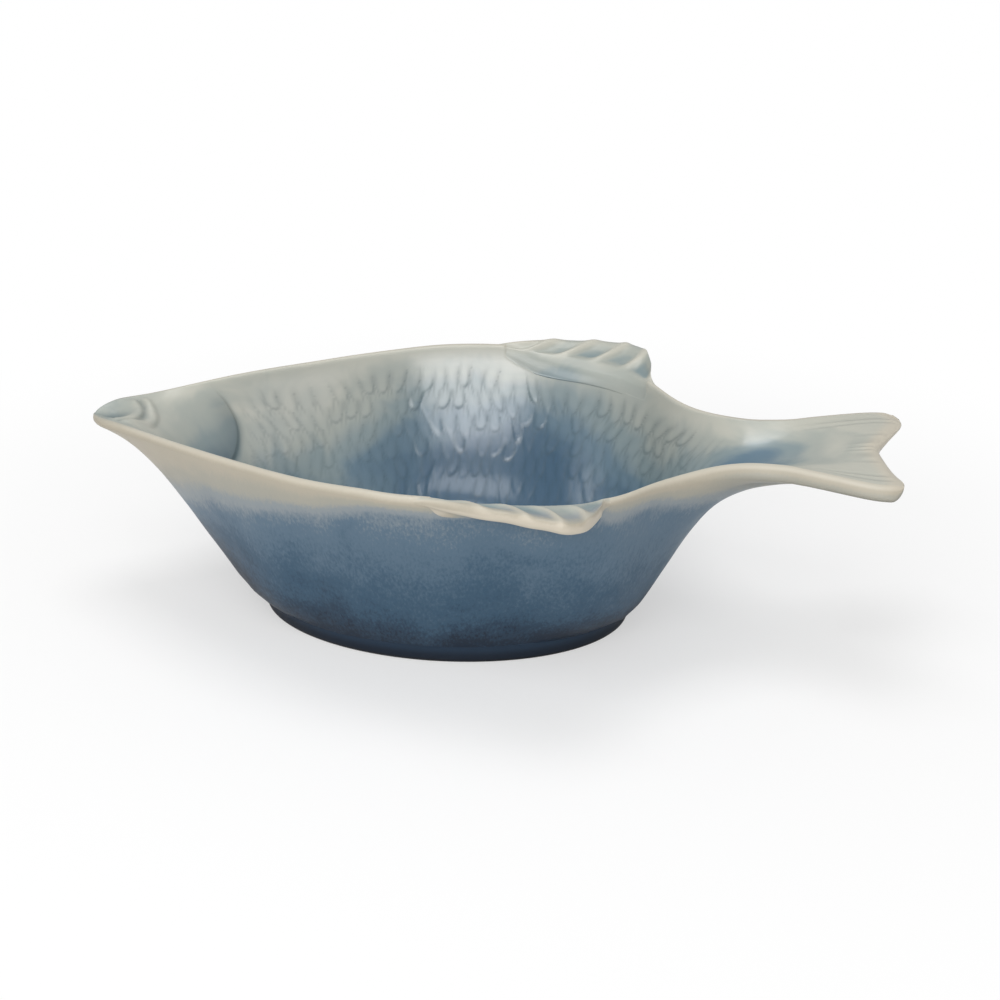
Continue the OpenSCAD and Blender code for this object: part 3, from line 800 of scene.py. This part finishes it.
def fin_piece(name, side):
    """Closed leaf: its top, from a lip on the inside of the wall out to its edge, its underside and its
    root."""
    far = side > 0
    s = fin_stations[:, None]
    q = fin_run(s, side)
    hump, grown = fin_hump(s, side), fin_grown(s, side)
    half, rim_z = smooth(rim_table, s), smooth(height_table, s)
    edge_r = fin_t / 2
    sweep = fin_sweep * np.sin(math.pi * clamp(q) ** sweep_bend)
    tip_share = mix(*far_tip_shares, ease((q - flush_from) / far_tip_run)) if far else 0
    tip_z = mix(rim_z, belly_h, tip_share) + fin_rise - edge_r

    def hollows(c):
        """Depth of the leaf-shaped hollows at a share of the way out, as a share of their full depth."""
        ray_turn = math.pi * (q - first_ray - ray_slant * (c - 1)) / ray_gap
        return (1 - np.cos(ray_turn) ** 6) * ease(3 * hump)

    scallop = fin_scallop * np.sin(math.pi * (q - first_ray) / ray_gap) ** 2 * ease(3 * hump)
    tip_y = half + rim_t / 2 + fin_lead + fin_reach * hump - edge_r - scallop

    def leaf(p, x, y, z):
        """Points of the fin, which sink into the rim at its two ends."""
        rim = mix(section(s, p), np.stack([place(s), half, rim_z - rim_t / 2], -1), rim_sink_share)
        return mix(rim, np.stack(np.broadcast_arrays(x, y, z), -1), grown[..., None])

    up_wall = np.linspace(1, 0.7, 100)
    wall = section(s, up_wall[None, :])
    down = np.cumsum(np.linalg.norm(np.diff(wall, axis=1, prepend=wall[:, :1]), axis=-1), axis=1)
    p_root = np.array([[np.interp(fin_root(at, side), d, up_wall)] for at, d in zip(fin_stations, down)])
    root = section(s, p_root)
    climb = section(s, p_root + 0.01) - root
    climb /= np.linalg.norm(climb[..., 1:], axis=-1, keepdims=True)

    c = np.linspace(0, 1, top_cols + 1)[None, :] ** top_spacing
    u = clamp(c / top_edge_share)
    turn = clamp((c - top_edge_share) / (1 - top_edge_share)) * math.pi / 2
    crest_up = fin_corner_up + (0 if far else near_crest * smooth(near_crest_shares, q))
    corner = root + climb * ((rim_z + crest_up - root[..., 2]) / climb[..., 2])[..., None]
    pull = 2 * fin_pull * u * (1 - u)
    whole = (1 - u) ** 2 + pull + u ** 2
    flush = ease((q - flush_from) / flush_run)
    proud = fin_lip * ease((q - lip_from) / flush_run) * (1 - flush)
    proud = proud * rounded(c / lip_roll) * (1 - ease(c / lip_fade)) - fin_sink * (1 - ease(c / sink_share))
    y = ((1 - u) ** 2 * root[..., 1] + pull * corner[..., 1] + u ** 2 * tip_y) / whole
    z = ((1 - u) ** 2 * root[..., 2] + pull * corner[..., 2] + u ** 2 * (tip_z + edge_r)) / whole
    leafy = hollows(c) * ease((u - leaf_from) / leaf_run) * np.cos(turn)
    leafy = leafy * (1 - leaf_loss * ease((u - leaf_loss_from) / leaf_loss_run))
    y = y - proud * climb[..., 2] + edge_r * np.sin(turn)
    z = z + proud * climb[..., 1] - edge_r * (1 - np.cos(turn)) - fin_ray_depth * leafy
    swept = sweep * clamp((u - sweep_from) / (1 - sweep_from))
    above = leaf(mix(p_root, p_edge, c), place(s) + swept, y, z)

    d = np.linspace(0, 1, below_cols + 1)[None, :]
    v = clamp(d / under_edge_share)
    turn = clamp((d - under_edge_share) / (1 - under_edge_share)) * math.pi / 2
    under = section(s, p_under)
    y = mix(under[..., 1], tip_y, v) + edge_r * np.sin(turn)
    z = mix(under[..., 2], tip_z - edge_r, 1 - (1 - v) ** under_bend) + edge_r * (1 - np.cos(turn))
    beneath = leaf(mix(p_under, p_edge, d), place(s) + sweep * v, y, z)
    inside = np.stack([above[:, 0], beneath[:, 0]], 1)
    for grid in (above, beneath, inside):
        grid[..., 1] *= side

    def marks(p, inner, fall, ridge=0, own=1, dry=1):
        """Marks of the fin, which take over from those of the wall by its own share."""
        zero = np.zeros(np.broadcast_shapes(s.shape, p.shape))
        wall_inner = 1 - ease(p - 1) + zero
        wall_z = section(s, p)[..., 2]
        wall_fall = glaze_and_painted_light_fall(s + zero, p + zero, wall_z, wall_inner, side)
        wall_gloss = glaze_gloss(wall_inner, rim_z - wall_z)
        own = own * grown
        return {
            "inside": mix(wall_inner, inner, own), "fall": mix(wall_fall, fall, own), "pool_and_shade": zero,
            "crest": zero + ridge * grown, "gloss": mix(wall_gloss, fin_gloss, own * dry), "bare": zero}

    if far:
        root_fall = mix(*far_root_falls, ease((q - far_root_from) / far_root_run))
        edge_fall = far_edge_fall * ease((c - far_edge_from) / edge_run)
        hollow_fall, inner_end = far_hollow_fall, far_inner_end
    else:
        root_fall = near_root_fall
        edge_fall = near_edge_fall * (1 - ease((c - near_edge_from) / edge_run))
        hollow_fall, inner_end = near_hollow_fall, near_inner_end
    face = root_fall * (1 - ease(u / 0.6)) + face_fall * (1 - ease((u - 0.5) / 0.4))
    fall = face + hollow_fall * leafy + edge_fall
    inner = 1 - ease((c - inner_end) / inner_run)
    ridge = (1 - hollows(c)) * ease((u - 0.4) / 0.3) * (1 - ease((c - top_edge_share) / 0.08))
    over_rim = ease((c - rim_covered) / (1 - rim_covered))
    p_covered = mix(p_root, 1, clamp(c / rim_covered)) + (p_edge - 1) * over_rim
    off_root = ease(c / off_root_run)
    own = ease((q - own_from) / own_run) * mix(1, off_root, flush)
    top_marks = marks(p_covered, inner, fall, ridge, own, off_root)
    fall = under_fall * ease(3.2 * (under_edge_share - d)) * ease((q - under_from) / own_run)
    under_marks = marks(mix(p_under, p_edge, d), 0, fall)
    n = len(fin_stations)
    caps = []
    for row, turned in ((0, not far), (n - 1, far)):
        over = [row * (top_cols + 1) + k for k in range(top_cols + 1)]
        below = n * (top_cols + 1) + row * (below_cols + 1)
        round_root = [over[0]] + [below + k for k in range(below_cols + 1)]
        caps.append(([f[::-1] if turned else f for f in zipped(over, round_root)], False))
    root_marks = marks(np.array([[1.0, 2.0]]), 0, 0)
    return clay_piece(name, [
        (above, top_marks, not far, ()), (beneath, under_marks, far, ()),
        (inside, root_marks, far, [(slice(None), slice(None))])], caps)


for name, side, node in (("dorsal_fin_leaf", 1, "dorsal_fin"), ("ventral_fin_leaf", -1, "ventral_fin")):
    fin = fin_piece(name, side)
    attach(fin, "root")
    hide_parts(node)

# Foot ring
# Oval band under the belly on which the bowl stands, of one body with it.
# Glaze runs down its sides, and the face that it stands on is wiped down to the bare clay.
turns = np.linspace(0, 2 * math.pi, 181)[:, None]
foot_band = 9 * mm
foot_bevel = 1.2 * mm
foot_flare = 0.5 * mm
foot_fillet = 0.6 * mm
foot_top = foot_h + 1.6 * mm
foot_wiped = 0.05 * mm
foot_edge_points = [[0, 2], [-0.1, 1.1], [-0.35, 0.45], [-0.7, 0.12], [-1.1, 0]]
profile = np.array(
    [[foot_flare, foot_top], [0.4 * foot_flare, foot_h + foot_fillet], [0, foot_h - foot_fillet]]
    + [[out * mm, up * mm] for out, up in foot_edge_points]
    + [[-foot_band + foot_bevel, 0], [-foot_band, foot_bevel]]
    + [[-foot_band, foot_top], [foot_flare, foot_top]])
ring = np.stack([
    foot_x + (foot_len / 2 + profile[None, :, 0]) * np.cos(turns),
    (foot_w / 2 + profile[None, :, 0]) * np.sin(turns),
    profile[None, :, 1] + 0 * turns], -1)
foot_marks = {m: np.zeros(ring.shape[:2]) for m in MARKS}
# The band is painted darker towards the table: partly glaze that runs down, partly painted shade
foot_marks["fall"] = foot_marks["fall"] + 1 - clamp(profile[None, :, 1] / foot_h)
foot_marks["bare"] = foot_marks["bare"] + (profile[None, :, 1] < foot_wiped)
foot = clay_piece("foot_band", [(ring, foot_marks, True, ())])
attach(foot, "root")
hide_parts("foot_ring")

# Glaze
# One reactive glaze runs over all the joins, pale where it is thin on edges and blue where it lies thick. Its
# colour also carries painted shade in the cuts and low on the outside, and a painted reflection inside behind
# the head.
# Pieces share the normals of the points that they share, so that no join shows through it.


def share_normals():
    """Gives all corners that meet at a point, in any piece, the mean of the glazed faces round it."""
    places, counts = [], []
    for piece, _ in fired:
        co = np.zeros(len(piece.data.vertices) * 3, np.float32)
        piece.data.vertices.foreach_get("co", co)
        places.append(co.reshape(-1, 3).astype(float))
        counts.append(len(places[-1]))
    _, spots = np.unique(np.round(np.concatenate(places) / (2 * meet)), axis=0, return_inverse=True)
    spots = np.split(spots.ravel(), np.cumsum(counts)[:-1])
    total = np.zeros((max(s.max() for s in spots) + 1, 3))
    corners = []
    for (piece, shown), spot in zip(fired, spots):
        mesh = piece.data
        normal = np.zeros(len(mesh.polygons) * 3, np.float32)
        area = np.zeros(len(mesh.polygons), np.float32)
        size = np.zeros(len(mesh.polygons), np.int32)
        vertex = np.zeros(len(mesh.loops), np.int32)
        mesh.polygons.foreach_get("normal", normal)
        mesh.polygons.foreach_get("area", area)
        mesh.polygons.foreach_get("loop_total", size)
        mesh.loops.foreach_get("vertex_index", vertex)
        face = np.repeat(np.arange(len(size)), size)
        weight = (normal.reshape(-1, 3) * (area * shown)[:, None])[face]
        np.add.at(total, spot[vertex], weight)
        corners.append((spot[vertex], shown[face]))
    total /= np.maximum(np.linalg.norm(total, axis=1, keepdims=True), 1e-12)
    for (piece, _), (spot, shown) in zip(fired, corners):
        piece.data.normals_split_custom_set((total[spot] * shown[:, None]).tolist())


share_normals()


def tint(red, green, blue):
    """Colour of a surface from its red, green and blue out of 255."""
    return tuple(((c / 255 + 0.055) / 1.055) ** 2.4 for c in (red, green, blue)) + (1,)


def wire(tree, kind, inputs=None, **settings):
    """Shader node with its settings, and with its inputs set or linked."""
    made = tree.nodes.new("ShaderNode" + kind)
    for name, setting in settings.items():
        setattr(made, name, setting)
    for name, value in (inputs or {}).items():
        if isinstance(value, bpy.types.NodeSocket):
            tree.links.new(value, made.inputs[name])
        else:
            made.inputs[name].default_value = value
    return made


def ramp(tree, share, stops):
    """Colours at shares of the way."""
    made = wire(tree, "ValToRGB", {"Fac": share})
    made.color_ramp.interpolation = "EASE"
    while len(made.color_ramp.elements) < len(stops):
        made.color_ramp.elements.new(0.5)
    for element, (at, colour) in zip(made.color_ramp.elements, stops):
        element.position = at
        element.color = colour
    return made.outputs["Color"]


def remap(tree, value, start, stop, low, high, **settings):
    """Value moved from one range to another."""
    ends = {"From Min": start, "From Max": stop, "To Min": low, "To Max": high}
    return wire(tree, "MapRange", {"Value": value, **ends}, **settings).outputs["Result"]


def calc(tree, operation, one, other, held=False):
    """Sum or product of two values, held between 0 and 1 if wanted."""
    return wire(tree, "Math", {0: one, 1: other}, operation=operation, use_clamp=held).outputs["Value"]


def lay_over(tree, share, under, over):
    """Colour that covers another by a share."""
    return wire(tree, "MixRGB", {"Fac": share, "Color1": under, "Color2": over}).outputs["Color"]


mottle = bpy.data.node_groups.new("glaze_mottle", "ShaderNodeTree")
for name in ("Strokes", "Patches", "Waves"):
    mottle.interface.new_socket(name, in_out="OUTPUT", socket_type="NodeSocketFloat")
where = wire(mottle, "TexCoord").outputs["Object"]
drawn = wire(mottle, "Mapping", {"Vector": where, "Scale": (1, 1, 0.3)}).outputs["Vector"]
strokes = wire(mottle, "TexNoise", {"Vector": drawn, "Scale": 1100, "Detail": 4, "Roughness": 0.65})
patches = wire(mottle, "TexNoise", {
    "Vector": where, "Scale": 38, "Detail": 3, "Roughness": 0.55, "Distortion": 0.6})
waves = wire(mottle, "TexNoise", {"Vector": where, "Scale": 130, "Detail": 2, "Roughness": 0.5})
out = mottle.nodes.new("NodeGroupOutput")
mottle.links.new(strokes.outputs["Fac"], out.inputs["Strokes"])
mottle.links.new(patches.outputs["Fac"], out.inputs["Patches"])
mottle.links.new(waves.outputs["Fac"], out.inputs["Waves"])

glaze = bpy.data.materials.new("reactive_glaze")
glaze.use_nodes = True
tree = glaze.node_tree
flow = wire(tree, "Group", node_tree=mottle).outputs
mark = {m: wire(tree, "Attribute", attribute_name=m).outputs["Fac"] for m in MARKS}
patchy = remap(tree, flow["Patches"], 0.3, 0.7, -0.13, 0.13)
stroked = remap(tree, flow["Strokes"], 0.35, 0.75, 0.08, -0.2)
shift_in = calc(tree, "ADD", mark["fall"], patchy, held=True)
spread = calc(tree, "MULTIPLY", calc(tree, "ADD", patchy, stroked), mark["fall"])
shift_out = calc(tree, "ADD", spread, mark["fall"], held=True)
inside_colour = ramp(tree, shift_in, [
    (0, tint(186, 186, 175)), (0.22, tint(163, 168, 161)), (0.45, tint(127, 143, 146)),
    (0.7, tint(84, 113, 131)), (1, tint(38, 82, 111))])
outside_colour = ramp(tree, shift_out, [
    (0, tint(200, 191, 174)), (0.06, tint(178, 170, 153)), (0.13, tint(164, 161, 149)),
    (0.26, tint(138, 146, 150)), (0.48, tint(84, 108, 127)), (0.7, tint(54, 84, 107)),
    (0.86, tint(36, 61, 83)), (1, tint(18, 38, 58))])
# Cuts, grooves and hollows are painted darker: partly glaze that gathers in them, partly painted shade
pooled_and_shaded = calc(tree, "MULTIPLY", mark["pool_and_shade"], 0.6)
rubbed = calc(tree, "MULTIPLY", mark["crest"], 0.5)
colour = lay_over(tree, mark["inside"], outside_colour, inside_colour)
colour = lay_over(tree, pooled_and_shaded, colour, tint(56, 76, 84))
colour = lay_over(tree, rubbed, colour, tint(200, 197, 184))
glaze_ior = 1.42
gloss = tree.nodes["Principled BSDF"]
gloss.inputs["IOR"].default_value = glaze_ior
gloss.inputs["Coat IOR"].default_value = 1.7
gloss.inputs["Coat Roughness"].default_value = 0.18
tree.links.new(mark["gloss"], gloss.inputs["Coat Weight"])
tree.links.new(colour, gloss.inputs["Base Color"])
tree.links.new(remap(tree, flow["Patches"], 0.3, 0.7, 0.34, 0.46), gloss.inputs["Roughness"])
bump = wire(tree, "Bump", {"Strength": 0.25, "Distance": 0.6 * mm, "Height": flow["Waves"]})
tree.links.new(bump.outputs["Normal"], gloss.inputs["Normal"])

clay = bpy.data.materials.new("foot_clay")
clay.use_nodes = True
tree = clay.node_tree
flow = wire(tree, "Group", node_tree=mottle).outputs
bare = wire(tree, "Attribute", attribute_name="bare").outputs["Fac"]
fall = wire(tree, "Attribute", attribute_name="fall").outputs["Fac"]
# Glaze of the foot band, painted darker towards the table: partly glaze, partly painted shade
glazed_and_shaded_colour = ramp(tree, fall, [(0, tint(30, 50, 70)), (0.6, tint(14, 28, 44)), (1, tint(6, 12, 22))])
clay_colour = ramp(tree, flow["Strokes"], [(0.3, tint(150, 138, 120)), (0.7, tint(186, 174, 154))])
colour = lay_over(tree, bare, glazed_and_shaded_colour, clay_colour)
gloss = tree.nodes["Principled BSDF"]
gloss.inputs["IOR"].default_value = glaze_ior
tree.links.new(colour, gloss.inputs["Base Color"])
tree.links.new(remap(tree, bare, 0, 1, 0.4, 0.85), gloss.inputs["Roughness"])

for piece, _ in fired:
    piece.data.materials.append(clay if piece == foot else glaze)

# Studio
# White floor under soft light from above, which turns to plain white away from the bowl.
floor_mesh = bpy.data.meshes.new("studio_floor")
reach = 4
drop = -0.3 * mm
corners = [(-reach, -reach, drop), (reach, -reach, drop), (reach, reach, drop), (-reach, reach, drop)]
floor_mesh.from_pydata(corners, [], [(0, 1, 2, 3)])
floor = bpy.data.objects.new("studio_floor", floor_mesh)
bpy.context.scene.collection.objects.link(floor)
paper = bpy.data.materials.new("studio_white")
paper.use_nodes = True
tree = paper.node_tree
gloss = tree.nodes["Principled BSDF"]
gloss.inputs["Base Color"].default_value = (0.9, 0.9, 0.9, 1)
gloss.inputs["Roughness"].default_value = 0.9
gloss.inputs["Specular IOR Level"].default_value = 0.1
where = wire(tree, "TexCoord").outputs["Object"]
away = wire(tree, "VectorMath", {0: where}, operation="LENGTH").outputs["Value"]
far_off = remap(tree, away, 0.1, 0.34, 0.5, 1, interpolation_type="SMOOTHSTEP")
seen = wire(tree, "LightPath").outputs["Is Camera Ray"]
share = calc(tree, "MULTIPLY", far_off, seen)
plain = wire(tree, "Emission", {"Color": (1, 1, 1, 1), "Strength": 1})
blend = wire(tree, "MixShader", {0: share, 1: gloss.outputs["BSDF"], 2: plain.outputs["Emission"]})
tree.links.new(blend.outputs["Shader"], tree.nodes["Material Output"].inputs["Surface"])
floor_mesh.materials.append(paper)

world = bpy.data.worlds.new("studio")
bpy.context.scene.world = world
world.use_nodes = True
tree = world.node_tree
room = tree.nodes["Background"]
room.inputs["Color"].default_value = (1, 1, 1, 1)
seen = wire(tree, "LightPath").outputs["Is Camera Ray"]
tree.links.new(remap(tree, seen, 0, 1, 0.45, 1), room.inputs["Strength"])


def softbox(name, place_at, aim, wide, deep, power):
    """Soft rectangular lamp that faces what it is aimed at."""
    light = bpy.data.lights.new(name, "AREA")
    light.shape = "RECTANGLE"
    light.size = wide
    light.size_y = deep
    light.energy = power
    box = bpy.data.objects.new(name, light)
    box.location = place_at
    box.rotation_euler = (Vector(aim) - box.location).to_track_quat("-Z", "Y").to_euler()
    bpy.context.scene.collection.objects.link(box)


softbox("overhead", (-0.1, 0.15, 1.1), (0, 0, 0), 0.6, 0.5, 4)
softbox("front", (-0.13, -0.97, 0.56), (0, 0, 0.05), 1.02, 0.23, 3.9)
softbox("front_top", (-0.17, -0.59, 0.93), (0, 0, 0.02), 0.89, 0.35, 2.2)
softbox("right", (0.92, -0.58, 0.42), (-0.04, 0, 0.05), 0.93, 0.36, 1)

# Camera
# Close to the near side of the bowl, a little to its right, looking down at it.
target = Vector((-14.25 * mm, 0, 35 * mm))
azimuth, elevation, distance = math.radians(10.3), math.radians(23.5), 725 * mm
back = Vector((
    math.sin(azimuth) * math.cos(elevation), -math.cos(azimuth) * math.cos(elevation), math.sin(elevation)))
camera = bpy.data.cameras.new("camera")
camera.sensor_width = 36
camera.lens = 72
camera.shift_x = 0.0545
camera.shift_y = 0.014
camera.clip_start = 0.01
eye = bpy.data.objects.new("camera", camera)
eye.location = target + distance * back
eye.rotation_euler = (-back).to_track_quat("-Z", "Y").to_euler()
bpy.context.scene.collection.objects.link(eye)
bpy.context.scene.camera = eye
bpy.context.scene.view_settings.view_transform = "Standard"
